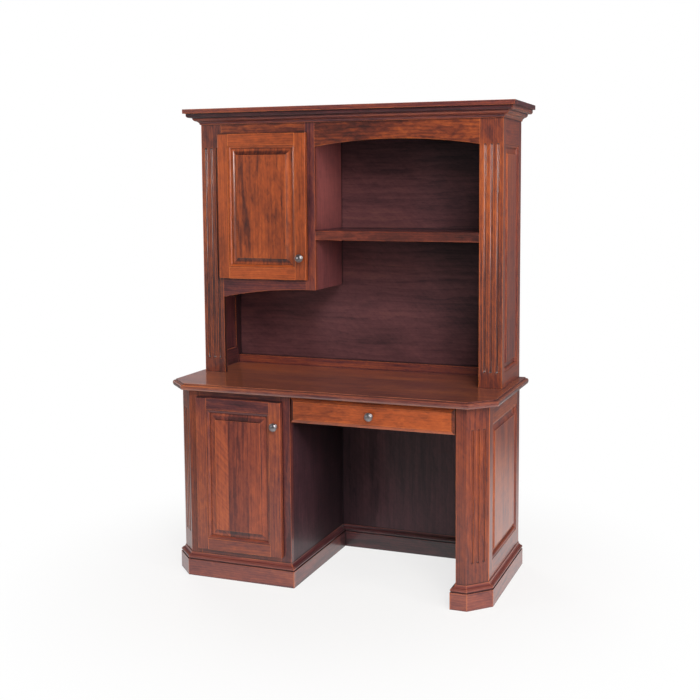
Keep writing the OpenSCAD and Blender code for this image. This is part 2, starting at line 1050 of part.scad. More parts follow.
module cabinet_floor() {
    color(wood)
        translate([-hutch_half + frame_t, hutch_in_y, cab_floor_z - shelf_t])
            cube([mid_x - frame_t - shelf_t, hutch_back_y - hutch_in_y, shelf_t]);
}

module cabinet_shelf() {
    color(wood)
        translate([-hutch_half + frame_t + 1, hutch_in_y + 4, cab_floor_z + inner_shelf_up])
            cube([mid_x - frame_t - shelf_t - 2, hutch_back_y - hutch_in_y - 6, side_t]);
}

module open_shelf() {
    color(wood)
        translate([mid_right, hutch_in_y, shelf_z - shelf_t])
            cube([hutch_half - frame_t - mid_right, hutch_back_y - hutch_in_y, shelf_t]);
}

// front rail of the open shelf, with a small round on its top edge
module shelf_edge() {
    r = 3;
    color(wood_lit)
        translate([mid_right, hutch_y, shelf_z - shelf_edge_h])
            rotate([90, 0, 90])
                linear_extrude(height = stile_x - mid_right) {
                    square([frame_t, shelf_edge_h - r]);
                    translate([r, 0])
                        square([frame_t - r, shelf_edge_h]);
                    translate([r, shelf_edge_h - r])
                        circle(r = r);
                }
}

module hutch_back() {
    color(wood)
        translate([-hutch_half + frame_t, hutch_back_y, desk_h])
            cube([hutch_w - 2 * frame_t, hutch_back_t, board_z - desk_h]);
}

module hutch_back_rail() {
    color(wood_lit)
        translate([-hutch_half + frame_t, hutch_back_y - back_rail_t, desk_h])
            cube([hutch_w - 2 * frame_t, back_rail_t, back_rail_h]);
}

module cornice_board() {
    color(wood_lit)
        translate([-hutch_half - cornice_over, hutch_y - cornice_over, board_z])
            cube([hutch_w + 2 * cornice_over, hutch_d + cornice_over, cornice_t]);
}

// crown section: fascia, quarter round, soffit, ovolo and a cove down to the wall
module crown_profile() {
    r = 9;
    fascia = board_z - 7.5;
    soffit = fascia - r;
    ovolo = 13.5;
    cove_top = soffit - ovolo;
    translate([0, fascia])
        square([crown_out, board_z - fascia]);
    translate([0, soffit])
        square([crown_out - r, r + 1]);
    translate([crown_out - r, fascia])
        circle(r = r);
    translate([0, cove_top])
        square([crown_out - 32, ovolo + 1]);
    intersection() {
        translate([crown_out - 32, soffit])
            circle(r = ovolo);
        translate([0, cove_top - 1])
            square([crown_out, ovolo + 2]);
    }
    difference() {
        translate([0, crown_z])
            square([crown_out - 32, cove_top - crown_z + 1]);
        translate([crown_out - 27.5, crown_z])
            circle(r = cove_top - crown_z);
    }
}

module crown(i) {
    intersection() {
        strip(crown_corner, crown_step, i, crown_out, crown_z, board_z);
        run(crown_corner[i], crown_corner[i + 1]) crown_profile();
    }
}

module crown_front() {
    color(wood_lit)
        crown(1);
}

module crown_returns() {
    color(wood_lit) {
        crown(0);
        crown(2);
    }
}

module upper_door_stiles() {
    color(wood_lit)
        translate([high_door[0], front_hutch_y, high_door[2]])
            difference() {
                door_stiles(high_door[1] - high_door[0], high_door[3] - high_door[2]);
                hinge_slots(high_door[3] - high_door[2]);
            }
}

module upper_door_rails() {
    color(wood_lit)
        translate([high_door[0], front_hutch_y, high_door[2]])
            door_rails(high_door[1] - high_door[0], high_door[3] - high_door[2]);
}

module upper_door_panel() {
    color(orange_wood)
        translate([high_door[0], front_hutch_y, high_door[2]])
            door_panel(high_door[1] - high_door[0], high_door[3] - high_door[2]);
}

module upper_door_knob() {
    color(pewter)
        translate([high_door[1] - knob_in, front_hutch_y, high_door[2] + high_knob_up])
            knob();
}

module upper_hinge_pins() {
    color(steel)
        translate([high_door[0], front_hutch_y, high_door[2]])
            hinge_pins(high_door[3] - high_door[2]);
}

desktop();
left_post();
right_post();
end_stiles();
end_rails();
end_panels();
pedestal_rails();
pedestal_stile();
pedestal_side();
pedestal_floor();
pedestal_shelf();
pedestal_pins();
desk_back();
leg_side();
stretchers();
plinth_boards();
plinth_returns();
plinth_caps();
cap_returns();
hinge_leaves();
door_pads();
lower_door_stiles();
lower_door_rails();
lower_door_panel();
lower_door_knob();
lower_hinge_pins();
drawer_front();
drawer_sides();
drawer_back();
drawer_bottom();
drawer_knob();
slide_outers();
slide_middle_left();
slide_middle_right();
slide_inners();
hutch_outer_stiles();
hutch_mid_stile();
hutch_top_rails();
hutch_lower_rail();
hutch_side_stiles();
hutch_side_rails();
hutch_side_panels();
hutch_partition();
cabinet_floor();
cabinet_shelf();
cabinet_pins();
open_shelf();
shelf_edge();
hutch_back();
hutch_back_rail();
cornice_board();
crown_front();
crown_returns();
upper_door_stiles();
upper_door_rails();
upper_door_panel();
upper_door_knob();
upper_hinge_pins();
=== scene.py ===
import math

import bpy
import numpy as np
from mathutils import Matrix, Vector


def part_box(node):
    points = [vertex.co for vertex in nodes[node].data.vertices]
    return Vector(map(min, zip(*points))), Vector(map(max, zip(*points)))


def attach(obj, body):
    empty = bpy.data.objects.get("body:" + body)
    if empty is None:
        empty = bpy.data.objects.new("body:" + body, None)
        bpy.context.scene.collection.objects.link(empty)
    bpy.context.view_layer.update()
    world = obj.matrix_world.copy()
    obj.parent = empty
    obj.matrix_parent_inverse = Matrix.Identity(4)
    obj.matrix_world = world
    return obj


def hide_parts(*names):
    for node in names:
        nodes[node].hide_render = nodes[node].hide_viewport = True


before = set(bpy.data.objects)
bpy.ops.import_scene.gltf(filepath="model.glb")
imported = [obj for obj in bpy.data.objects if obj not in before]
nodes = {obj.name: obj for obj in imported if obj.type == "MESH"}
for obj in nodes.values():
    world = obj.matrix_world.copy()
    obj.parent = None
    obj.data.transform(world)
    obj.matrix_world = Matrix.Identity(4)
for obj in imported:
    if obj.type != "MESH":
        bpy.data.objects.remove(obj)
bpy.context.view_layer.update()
print("frame loaded:", len(nodes), "nodes")


def linear(hexColour):
    # sRGB hex to the linear values that shaders take
    parts = [int(hexColour[i:i + 2], 16) / 255 for i in (1, 3, 5)]
    return [c / 12.92 if c <= 0.04045 else ((c + 0.055) / 1.055) ** 2.4 for c in parts] + [1.0]


def addNode(tree, kind, *values, sockets=None, marks=None, **settings):
    # Adds a node: settings go on the node, values fill its sockets in order, sockets fills them by name, and
    # marks are the (place, hex colour) pairs of a ramp. A node given as a value is linked by its first output
    # in use.
    node = tree.nodes.new("ShaderNode" + kind)
    for name, value in settings.items():
        setattr(node, name, value)
    for key, value in [*enumerate(values), *(sockets or {}).items()]:
        if isinstance(value, bpy.types.Node):
            value = next(output for output in value.outputs if output.enabled)
        if isinstance(value, bpy.types.NodeSocket):
            tree.links.new(value, node.inputs[key])
        else:
            node.inputs[key].default_value = value
    for index, (place, colour) in enumerate(marks or ()):
        elements = node.color_ramp.elements
        mark = elements[index] if index < len(elements) else elements.new(place)
        mark.position, mark.color = place, linear(colour)
    return node


def startMaterial(name):
    # an empty node material
    material = bpy.data.materials.new(name)
    material.use_nodes = True
    material.node_tree.nodes.clear()
    return material, material.node_tree


def dress(material, *names):
    # gives each named node this material alone
    for name in names:
        nodes[name].data.materials.clear()
        nodes[name].data.materials.append(material)


shadeSamples, bevelSamples = 6, 4  # rays that feel for corners, and for rounded edges

wood = {
    "grain": "z",  # axis that the fibres follow, or "round" for boards that run round the foot
    "tones": ("#241014", "#502527", "#7c3b29", "#ac5a2e"),  # stain from its darkest to its palest
    "places": (0.0, 0.33, 0.62, 1.0),  # where those four lie on the ramp
    "level": 0.50,  # where the board lies between them
    "ringMm": 9.0,  # spacing of the growth rings where they meet the face
    "pithMm": (60.0, 45.0),  # how far the tree's heart lies from the board, across and behind
    "luck": (0.12, 0.05, 7.0),  # metres by which boards differ in that place: across, behind, along
    "wanderMm": 22.0,  # how far the rings wander along the board
    "ripple": 1.6,  # and how many rings' width they ripple
    "lateWood": 2.6,  # from 1 up, how narrow the dark line of a ring is
    "lateMean": 0.28,  # and its mean over a ring
    "ring": 0.16,  # these eight are shares of the whole stain range
    "streak": 0.36,
    "fibre": 0.50,
    "mottle": 0.40,
    "blotch": 0.60,
    "smoke": 0.20,  # dark mineral streaks
    "curl": 0.12,  # light waves across the grain
    "pore": 0.22,  # dark flecks of gum
    "smokeFrom": (0.56, 0.72),  # from the first trace of a mineral streak to its full strength, in its noise
    "poreFrom": (0.58, 0.70),  # and the same for the gum
    "curlPast": None,  # (axis, metres) past which the waves fade
    "curlLost": 0.8,  # share of them lost there
    "spread": 0.12,  # difference between one board and the next
    "breaks": (),  # (axis, metres, step) planes between two boards of one node
    "fades": (),  # (axis, from, to, step before, step after) slow changes of the stain along a board
    "shaded": (),  # (low corner, high corner, step) boxes of painted shade
    "endGrain": 0.50,  # stain drunk where a cut opens the ends of the fibres
    "endFrom": (0.05, 0.28),  # lean of a face towards the fibres' ends, from the first trace to the full share
    "inner": 0.0,  # painted shade on faces that look into the piece
    "innerAxis": "x",
    "innerFrom": -0.7,  # how squarely they do
    "glaze": 1.0,  # dark stain left in grooves and corners, deepened into painted shade where they close in
    "glazeMm": 6.0,  # how far out of a corner it reaches
    "arris": 0.9,  # painted highlight on sharp edges that run with the grain, partly stain worn off there
    "arrisMm": 2.8,  # width of that pale line
    "arrisEnd": (0.05, 0.30),  # lean towards the fibres' ends over which it stops
    "cornerMm": 3.0,  # rounding by which that lean is felt
    "easedMm": 0.8,  # edges broken with fine paper
    "fibreMm": 0.4,  # relief of the fibres under the lacquer
    "fibreRelief": 0.25,
    "fibreSheen": 0.10,  # and their share in the roughness
    "roughness": 0.42,
    "specular": 0.40,
    "coat": 0.50,
    "coatRoughness": 0.12,
    "coatIor": 1.5,
    "seed": 0.0,
}


def makeWood(name, **changes):
    # Solid cherry in three dimensions, stained and sprayed with satin lacquer. Growth rings are circles round a
    # heart outside the board, bent by slow noise; fibres are noise drawn out along the grain; each board between
    # two breaks has its own place in the tree. All of it moves one number, the tone, along a ramp of stain
    # colours.
    s = dict(wood, **changes)
    material, tree = startMaterial(name)
    coords = addNode(tree, "TexCoord")
    at = dict(zip("xyz", addNode(tree, "SeparateXYZ", coords.outputs["Object"]).outputs))
    turned = dict(zip("xyz", addNode(tree, "SeparateXYZ", coords.outputs["Normal"]).outputs))
    offWhole = 0.37  # keeps the lookup between whole numbers, so that each board has its own chance
    board, tone = s["seed"] + offWhole, s["level"]
    for axis, place, step in s["breaks"]:
        past = addNode(tree, "Math", at[axis], place, operation="GREATER_THAN")
        board = addNode(tree, "Math", board, past, operation="ADD")
        tone = addNode(tree, "Math", past, step, tone, operation="MULTIPLY_ADD")
    for axis, start, end, before, after in s["fades"]:
        step = addNode(tree, "MapRange", at[axis], start, end, before, after, interpolation_type="SMOOTHSTEP")
        tone = addNode(tree, "Math", step, tone, operation="ADD")
    # painted shade inside each box
    for low, high, step in s["shaded"]:  # inside the box where the farthest of the three overshoots is below zero
        middle, half = [(np.array(high) + sign * np.array(low)) / 2 for sign in (1, -1)]
        away = addNode(tree, "VectorMath", coords.outputs["Object"], middle, operation="SUBTRACT")
        away = addNode(tree, "VectorMath", away, operation="ABSOLUTE")
        over = addNode(tree, "SeparateXYZ", addNode(tree, "VectorMath", away, half, operation="SUBTRACT"))
        most = addNode(tree, "Math", over.outputs[0], over.outputs[1], operation="MAXIMUM")
        most = addNode(tree, "Math", most, over.outputs[2], operation="MAXIMUM")
        tone = addNode(tree, "Math", addNode(tree, "Math", most, 0.0, operation="LESS_THAN"), step, tone,
                       operation="MULTIPLY_ADD")

    # the board's place in its tree: across the rings, behind the face and along the fibres
    if s["grain"] == "round":
        leftOver = addNode(tree, "Math", at["x"], turned["y"], operation="MULTIPLY")
        along = addNode(tree, "Math", at["y"], turned["x"], operation="MULTIPLY")
        along = addNode(tree, "Math", along, leftOver, operation="SUBTRACT")
        behind = addNode(tree, "Math", at["x"], at["y"], operation="ADD")
        faceOnly = 0.02  # these boards are seen on their faces, so the place behind hardly counts
        axes = at["z"], addNode(tree, "Math", behind, faceOnly, operation="MULTIPLY"), along
    else:
        axes = [at[letter] for letter in {"x": "zyx", "y": "zxy", "z": "xyz"}[s["grain"]]]
    luck = addNode(tree, "TexWhiteNoise", sockets={"W": board}, noise_dimensions="1D")
    chance = addNode(tree, "SeparateXYZ", luck.outputs["Color"]).outputs
    moved = addNode(tree, "CombineXYZ", chance[1], chance[2], chance[0])
    moved = addNode(tree, "VectorMath", moved, s["luck"], addNode(tree, "CombineXYZ", *axes),
                    operation="MULTIPLY_ADD")
    across, behind = s["pithMm"]
    inTree = addNode(tree, "VectorMath", moved, (across / 1000, behind / 1000, 0.0), operation="ADD")
    split = addNode(tree, "SeparateXYZ", inTree).outputs
    slanted = addNode(tree, "CombineXYZ", split[0], split[1],
                      addNode(tree, "Math", split[0], split[2], operation="ADD"))

    # Noise cells per metre across and along the grain, detail, roughness, distortion. Real fibres are about
    # 0.5 mm wide and the flecks of gum finer: they are drawn 2 mm and 1 mm wide, so that a render can show them.
    layers = {
        "bend": (5.0, 1.6, 3.0, 0.5, 0.0),
        "ripple": (30.0, 4.0, 3.0, 0.5, 0.0),
        "streak": (85.0, 2.6, 4.0, 0.6, 0.0),
        "fibre": (420.0, 9.0, 3.0, 0.65, 0.0),
        "pore": (900.0, 60.0, 2.0, 0.5, 0.0),
        "mottle": (60.0, 24.0, 3.0, 0.6, 0.6),
        "blotch": (9.0, 2.6, 3.0, 0.55, 0.5),
        "haze": (26.0, 2.4, 3.0, 0.5, 0.9),
        "curl": (10.0, 78.0, 1.0, 0.4, 0.6),
    }
    noise = {}
    for layer, (side, length, detail, rough, twist) in layers.items():
        source = slanted if layer == "curl" else inTree
        scaled = addNode(tree, "VectorMath", source, (side, side, length), operation="MULTIPLY")
        noise[layer] = addNode(tree, "TexNoise", scaled, sockets={
            "Scale": 1.0, "Detail": detail, "Roughness": rough, "Distortion": twist})

    # rings: distance from the bent heart, over the ring spacing; pale early wood, then a narrow dark line
    wander = s["wanderMm"] / 1000
    bent = addNode(tree, "VectorMath", noise["bend"].outputs["Color"], (2 * wander, 2 * wander, 0.0), inTree,
                   operation="MULTIPLY_ADD")
    bent = addNode(tree, "VectorMath", bent, (wander, wander, 0.0), operation="SUBTRACT")
    flat = addNode(tree, "VectorMath", bent, (1.0, 1.0, 0.0), operation="MULTIPLY")
    radius = addNode(tree, "VectorMath", flat, operation="LENGTH")
    rings = addNode(tree, "Math", radius, 1000 / s["ringMm"], -s["ripple"] / 2, operation="MULTIPLY_ADD")
    rings = addNode(tree, "Math", noise["ripple"], s["ripple"], rings, operation="MULTIPLY_ADD")
    late = addNode(tree, "Math", rings, operation="FRACT")
    late = addNode(tree, "Math", late, s["lateWood"], operation="POWER")
    smoke = addNode(tree, "MapRange", noise["haze"], *s["smokeFrom"], 0.0, 1.0, interpolation_type="SMOOTHSTEP")
    pore = addNode(tree, "MapRange", noise["pore"], *s["poreFrom"], 0.0, 1.0)
    curl = addNode(tree, "Math", noise["curl"], 0.5, operation="SUBTRACT")
    if s["curlPast"]:
        axis, place = s["curlPast"]
        past = addNode(tree, "Math", at[axis], place, operation="GREATER_THAN")
        fade = addNode(tree, "Math", past, -s["curlLost"], 1.0, operation="MULTIPLY_ADD")
        curl = addNode(tree, "Math", curl, fade, operation="MULTIPLY")

    # Everything on one sum. Each share's mean comes off it, so that the level stays the board's own, but for the
    # smoke and the gum, which only darken.
    even = "streak", "fibre", "mottle", "blotch"  # noise whose mean is a half
    centre = s["lateMean"] * s["ring"] - s["spread"] - sum(s[layer] / 2 for layer in even)
    terms = [(chance[0], 2 * s["spread"]), (late, -s["ring"]), (curl, s["curl"]), (smoke, -s["smoke"]),
             (pore, -s["pore"])]
    terms += [(noise[layer], s[layer]) for layer in even]
    if s["grain"] != "round":
        cutEnd = addNode(tree, "Math", turned[s["grain"]], operation="ABSOLUTE")
        cutEnd = addNode(tree, "MapRange", cutEnd, *s["endFrom"], 0.0, 1.0, interpolation_type="SMOOTHSTEP")
        terms.append((cutEnd, -s["endGrain"]))
    # painted shade on the faces that look inward
    if s["inner"]:
        side = addNode(tree, "Math", at[s["innerAxis"]], operation="SIGN")
        outward = addNode(tree, "Math", turned[s["innerAxis"]], side, operation="MULTIPLY")
        terms.append((addNode(tree, "Math", outward, s["innerFrom"], operation="LESS_THAN"), -s["inner"]))
    # painted shade: the colour darkens where nearby surfaces close round a point, as in shade, over the glaze of
    # stain in grooves
    shelter = addNode(tree, "AmbientOcclusion", sockets={"Distance": s["glazeMm"] / 1000}, samples=shadeSamples)
    terms.append((shelter.outputs["AO"], s["glaze"]))
    centre -= s["glaze"]
    # painted highlight along convex edges, partly real wear of the stain
    if s["arris"]:
        solid = addNode(tree, "AmbientOcclusion", sockets={"Distance": s["arrisMm"] / 1000},
                        samples=shadeSamples, inside=True)
        paleEdge = addNode(tree, "Math", 1.0, solid.outputs["AO"], operation="SUBTRACT")
        if s["grain"] != "round":  # a board's end meets another board, so its edge gets no pale line
            rounded = addNode(tree, "Bevel", sockets={"Radius": s["cornerMm"] / 1000}, samples=bevelSamples)
            rounded = addNode(tree, "SeparateXYZ", rounded)
            lean = addNode(tree, "Math", rounded.outputs["xyz".index(s["grain"])], operation="ABSOLUTE")
            kept = addNode(tree, "MapRange", lean, *s["arrisEnd"], 1.0, 0.0, interpolation_type="SMOOTHSTEP")
            paleEdge = addNode(tree, "Math", paleEdge, kept, operation="MULTIPLY")
        terms.append((paleEdge, s["arris"]))
    tone = addNode(tree, "Math", tone, centre, operation="ADD")
    for signal, share in terms:
        tone = addNode(tree, "Math", signal, share, tone, operation="MULTIPLY_ADD")
    colour = addNode(tree, "ValToRGB", tone, marks=list(zip(s["places"], s["tones"])))

    gloss = addNode(tree, "Math", noise["fibre"], s["fibreSheen"], s["roughness"] - s["fibreSheen"] / 2,
                    operation="MULTIPLY_ADD")
    eased = addNode(tree, "Bevel", sockets={"Radius": s["easedMm"] / 1000}, samples=bevelSamples)
    relief = addNode(tree, "Bump", sockets={
        "Height": noise["fibre"], "Strength": s["fibreRelief"], "Distance": s["fibreMm"] / 1000, "Normal": eased})
    lacquer = addNode(tree, "BsdfPrincipled", sockets={
        "Base Color": colour, "Roughness": gloss, "Normal": relief, "IOR": 1.5,
        "Specular IOR Level": s["specular"], "Coat Weight": s["coat"], "Coat Roughness": s["coatRoughness"],
        "Coat IOR": s["coatIor"]})
    addNode(tree, "OutputMaterial", lacquer)
    return material


print("wood")
# canted posts: straight upright grain, sawn from the plank's edge, so narrow lines of light and dark
dress(makeWood("quarterSawnCherry", tones=("#241011", "#502521", "#7c3923", "#ac5827"), level=0.73,
               breaks=(("x", 0.0, -0.30),), fades=(("z", 0.05, 0.30, -0.06, 0.0),), endGrain=0.15, glaze=0.9,
               glazeMm=4.0, arris=1.0, seed=3.0), "left_post", "right_post")
# fluted stiles of the hutch: the same cut, with painted highlights on the flutes' edges and painted shade in the
# flutes and on faces that look inward, darker low down and at the tops, with more gloss down in them
dress(makeWood("flutedCherry", tones=("#241011", "#502520", "#7c3922", "#ac5826"), level=0.65, inner=0.45,
               breaks=(("x", 0.0, -0.06),), fades=(("z", 0.9, 1.6, -0.17, 0.07), ("z", 1.66, 1.70, 0.0, -0.14)),
               mottle=0.7, endGrain=0.15, glaze=1.3, glazeMm=4.0, arris=2.0, coat=1.0, coatIor=1.6,
               coatRoughness=0.10, seed=6.0), "hutch_outer_stiles")
# narrow uprights between the openings: darker heartwood
dress(makeWood("heartCherry", level=0.44, breaks=(("z", 0.76, 0.04),), seed=11.0),
      "pedestal_stile", "hutch_mid_stile")
# uprights of the end frames: even mid brown, with no great figure
dress(makeWood("plainSawnCherry", level=0.64, inner=0.50, glaze=0.9, arris=1.4,
               breaks=(("x", 0.0, 0.0), ("y", 0.0, 0.0), ("z", 0.76, -0.04)), seed=14.0),
      "end_stiles", "hutch_side_stiles")
# level boards of the end frames, whose grain runs from front to back
dress(makeWood("endRailCherry", grain="y", level=0.52, inner=0.50, arris=1.4,
               breaks=(("x", 0.0, 0.0), ("z", 0.4, 0.0), ("z", 0.76, 0.0), ("z", 1.2, -0.04)), seed=21.0),
      "end_rails", "hutch_side_rails")
# rails under the crown: strongly figured, orange patches between dark ones, and a painted highlight on the lower
# edge
dress(makeWood("figuredRailCherry", grain="x", tones=("#280f0c", "#592517", "#853d1c", "#b15e24"), level=0.31,
               breaks=(("x", -0.15, -0.01),), ring=0.2, ringMm=14.0, wanderMm=40.0, mottle=1.0, blotch=0.9,
               seed=25.0), "hutch_top_rails")
# half arched rail under the cabinet: plain wood, in the cabinet's own shade
dress(makeWood("halfArchCherry", grain="x", level=0.47, seed=28.0), "hutch_lower_rail")
# level rails: plain and dark, and the open shelf's front from a browner board
dress(makeWood("levelRailCherry", grain="x", level=0.42,
               breaks=(("z", 0.4, 0.0), ("z", 0.78, 0.0)), seed=31.0),
      "pedestal_rails", "hutch_back_rail", "stretchers")
dress(makeWood("shelfFrontCherry", grain="x", tones=("#26110f", "#56261d", "#803b28", "#ae5630"),
               level=0.24, mottle=0.6, fades=(("x", 0.0, 0.5, 0.02, -0.08),), arris=1.2, seed=33.0),
      "shelf_edge")
# plinth and cap moulding: boards that run round the foot, with painted shade where the kneehole hides them
foot = dict(grain="round", tones=("#241216", "#52292c", "#7e4136", "#a95f40"))
kneehole = (-0.1292, -0.243, -0.01), (0.5195, 0.3, 0.2)  # low and high corner
farWall = (-0.1292, 0.2, -0.01), (0.5195, 0.3, 0.2)
dress(makeWood("plinthCherry", level=0.57, shaded=((*kneehole, -0.20), (*farWall, -0.24)), seed=41.0, **foot),
      "plinth_boards", "plinth_returns")
dress(makeWood("capCherry", level=0.53, arris=0.5, shaded=((*kneehole, -0.26), (*farWall, -0.10)), seed=43.0,
               **foot), "plinth_caps", "cap_returns")
# crown moulding: painted shade in the cove and under the board, and the ovolo between them painted lighter
dress(makeWood("crownCherry", grain="x", level=0.28, fades=(("x", -0.3, 0.3, -0.02, 0.06),), arris=1.2,
               breaks=(("z", 1.778, 0.15), ("z", 1.7915, -0.19)), seed=51.0), "crown_front")
dress(makeWood("topBoardCherry", grain="x", level=0.60, endGrain=0.15, fades=(("x", 0.2, 0.6, 0.0, -0.05),),
               seed=53.0), "cornice_board")
# crown returns: stronger painted shade in the hollows and painted highlights on the edges
dress(makeWood("crownReturnCherry", grain="y", level=0.56, glaze=1.2, arris=1.5, coat=0.8,
               breaks=(("x", 0.0, 0.0),), seed=57.0), "crown_returns")
# desktop: five boards edge to edge, filled and rubbed out to a higher gloss, with painted shade on the lower part
# of the moulded edge and a painted sheen lighter towards the left end
dress(makeWood("desktopCherry", grain="x", tones=("#261216", "#52292a", "#7a4335", "#a9603b"), level=0.49,
               endGrain=0.0, arris=1.3, spread=0.06, roughness=0.30, specular=0.5, coat=0.8, coatRoughness=0.08,
               fades=(("x", -0.65, 0.0, 0.18, 0.0),),
               breaks=(("z", 0.7525, 0.22),
                       ("y", -0.17, 0.0), ("y", -0.05, 0.0), ("y", 0.07, 0.0), ("y", 0.18, 0.0)),
               seed=61.0), "desktop")
# backs and inner sides: stained veneer with hardly any lacquer, purple brown and matt, with painted shade up
# under the shelf, the arch and the desktop and towards the back and the right
veneer = dict(ring=0.10, smoke=0.10, specular=0.25, coat=0.1, arris=0.0)
purple = ("#1a1116", "#3a2429", "#57363c", "#774d4b")
dress(makeWood("backVeneer", grain="x", tones=("#1a1115", "#3a2326", "#583436", "#784a41"), level=0.56,
               ringMm=30.0, wanderMm=60.0, streak=0.30, fibre=0.34, mottle=0.25, blotch=0.55,
               breaks=(("z", 1.33, 0.16),),
               fades=(("z", 1.18, 1.31, 0.0, -0.20), ("z", 1.52, 1.67, 0.0, -0.28),
                      ("x", 0.05, 0.53, 0.04, -0.12)),
               seed=71.0, **veneer), "hutch_back")
# the kneehole's back: painted shade on the left and painted light towards the right
dress(makeWood("kneeholeVeneer", tones=purple, level=0.56, inner=0.25, innerAxis="y", ringMm=30.0,
               streak=0.30, fibre=0.34, mottle=0.2, blotch=0.35,
               fades=(("z", 0.5, 0.72, 0.0, -0.12), ("x", -0.12, 0.10, -0.20, 0.0),
                      ("x", 0.20, 0.50, 0.0, 0.16)),
               seed=73.0, **veneer), "desk_back")
# the partition is painted lighter in its middle, where the light falls on it
dress(makeWood("sideVeneer", tones=("#1a1114", "#3c2226", "#5e3233", "#7f4441"), level=0.28, ringMm=20.0,
               streak=0.34, blotch=0.4, breaks=(("x", 0.0, 0.14), ("z", 0.9, 0.50)),
               fades=(("z", 0.40, 0.70, 0.0, -0.12), ("z", 1.25, 1.45, 0.12, 0.32),
                      ("z", 1.50, 1.70, 0.0, -0.16)),
               seed=76.0, **veneer), "leg_side", "hutch_partition")
dress(makeWood("pedestalSideVeneer", tones=purple, level=0.37, ringMm=20.0, streak=0.34, blotch=0.4,
               fades=(("z", 0.40, 0.70, 0.0, -0.12), ("y", -0.15, 0.15, 0.0, -0.22)),
               seed=78.0, **veneer), "pedestal_side")
# floors and the open shelf: solid and dark, with the same lacquer as the outside
dress(makeWood("shelfCherry", grain="x", level=0.25, breaks=(("z", 1.0, 0.0), ("z", 1.25, 0.0)), seed=81.0),
      "pedestal_floor", "cabinet_floor", "open_shelf")
# raised panels of the ends: paler and calm; they catch the light from the floor, which is also painted lighter
# low down on the desk's ends, and they grow lighter towards the top of the hutch's
dress(makeWood("endPanelCherry", level=0.70, ringMm=11.0, inner=0.45, glaze=1.0, endGrain=0.0, arris=1.4,
               breaks=(("x", 0.0, 0.0), ("z", 0.76, 0.04)),
               fades=(("z", 0.35, 0.65, 0.0, -0.15), ("z", 0.76, 1.2, 0.0, 0.10), ("z", 1.2, 1.6, 0.0, 0.10)),
               seed=91.0), "end_panels", "hutch_side_panels")
# hutch door frame: the orange boards, picked for colour
orange = ("#42180c", "#7b3617", "#a24b1e", "#c0662b")
dress(makeWood("orangeStileCherry", tones=orange, level=0.50, smoke=0.16, fibre=0.6, mottle=0.55,
               breaks=(("x", -0.35, -0.04),), glaze=0.9, arris=1.4, seed=101.0), "upper_door_stiles")
dress(makeWood("orangeRailCherry", grain="x", tones=orange, level=0.45, smoke=0.16, mottle=0.55,
               breaks=(("z", 1.4, 0.05),), glaze=0.9, arris=1.4, seed=105.0), "upper_door_rails")
# hutch door panel: one wide board with arches, dark smoky streaks and light between them
dress(makeWood("smokyPanelCherry", tones=("#321310", "#692d15", "#91411a", "#b65d28"), level=0.50, ringMm=16.0,
               wanderMm=34.0, pithMm=(20.0, 60.0), ring=0.14, streak=0.45, smoke=0.36, mottle=0.75, blotch=0.9,
               endGrain=0.40, arris=1.2, seed=111.0), "upper_door_panel")
# pedestal door frame: brownish boards, darker near the floor, with a painted shadow of the desktop across the top
dress(makeWood("doorStileCherry", level=0.68, blotch=0.8, mottle=0.5, breaks=(("x", -0.34, -0.08),),
               fades=(("z", 0.60, 0.70, 0.0, -0.16), ("z", 0.12, 0.26, -0.12, 0.0)), glaze=0.9, arris=1.4,
               seed=121.0), "lower_door_stiles")
dress(makeWood("doorRailCherry", grain="x", level=0.66, breaks=(("z", 0.4, -0.31),), glaze=0.9, arris=1.4,
               seed=125.0), "lower_door_rails")
# pedestal door panel: three boards edge to edge, the left one curly and pale, the middle one dark
dress(makeWood("threeBoardPanelCherry", tones=("#2c100f", "#5c2720", "#894029", "#b05a31"), level=0.64,
               ringMm=14.0, wanderMm=26.0, breaks=(("x", -0.383, -0.24), ("x", -0.298, 0.14)), spread=0.03,
               curl=0.5, curlPast=("x", -0.383), streak=0.26, ring=0.12, mottle=0.5, endGrain=0.30, arris=1.2,
               coat=0.4, seed=131.0), "lower_door_panel")
# drawer front: orange like the hutch door, flecked with short marks
dress(makeWood("drawerCherry", grain="x", tones=orange, level=0.47, smoke=0.12, blotch=0.5, mottle=0.75, ring=0.1,
               fades=(("x", -0.10, 0.15, -0.11, 0.0),), arris=1.2, seed=141.0), "drawer_front")
# drawer box and inner shelves: pale maple under clear lacquer, nearly plain
dress(makeWood("paleMaple", grain="y", tones=("#a5824f", "#c2a070", "#d3b487", "#e2c99f"), level=0.6, ring=0.15,
               streak=0.4, fibre=0.3, mottle=0.3, blotch=0.3, smoke=0.05, endGrain=0.25, coat=0.2, arris=0.0,
               seed=151.0), "drawer_sides", "drawer_back", "drawer_bottom", "pedestal_shelf", "cabinet_shelf")

metal = {
    "fresh": "#aaa4a4",
    "tarnished": "#4a4446",
    "roughness": 0.36,
    "share": 0.9,  # how much of it is tarnished
    "inHollows": 1.4,  # and how that is split between hollows and patches
    "inPatches": 0.6,
    "hollowMm": 4.0,  # how far out of a hollow it reaches
    "patches": 180.0,  # patches in a metre
    "gritMm": 1.6,
    "gritDepthMm": 0.06,
    "gritRelief": 0.3,
    "gritSheen": 0.16,
}


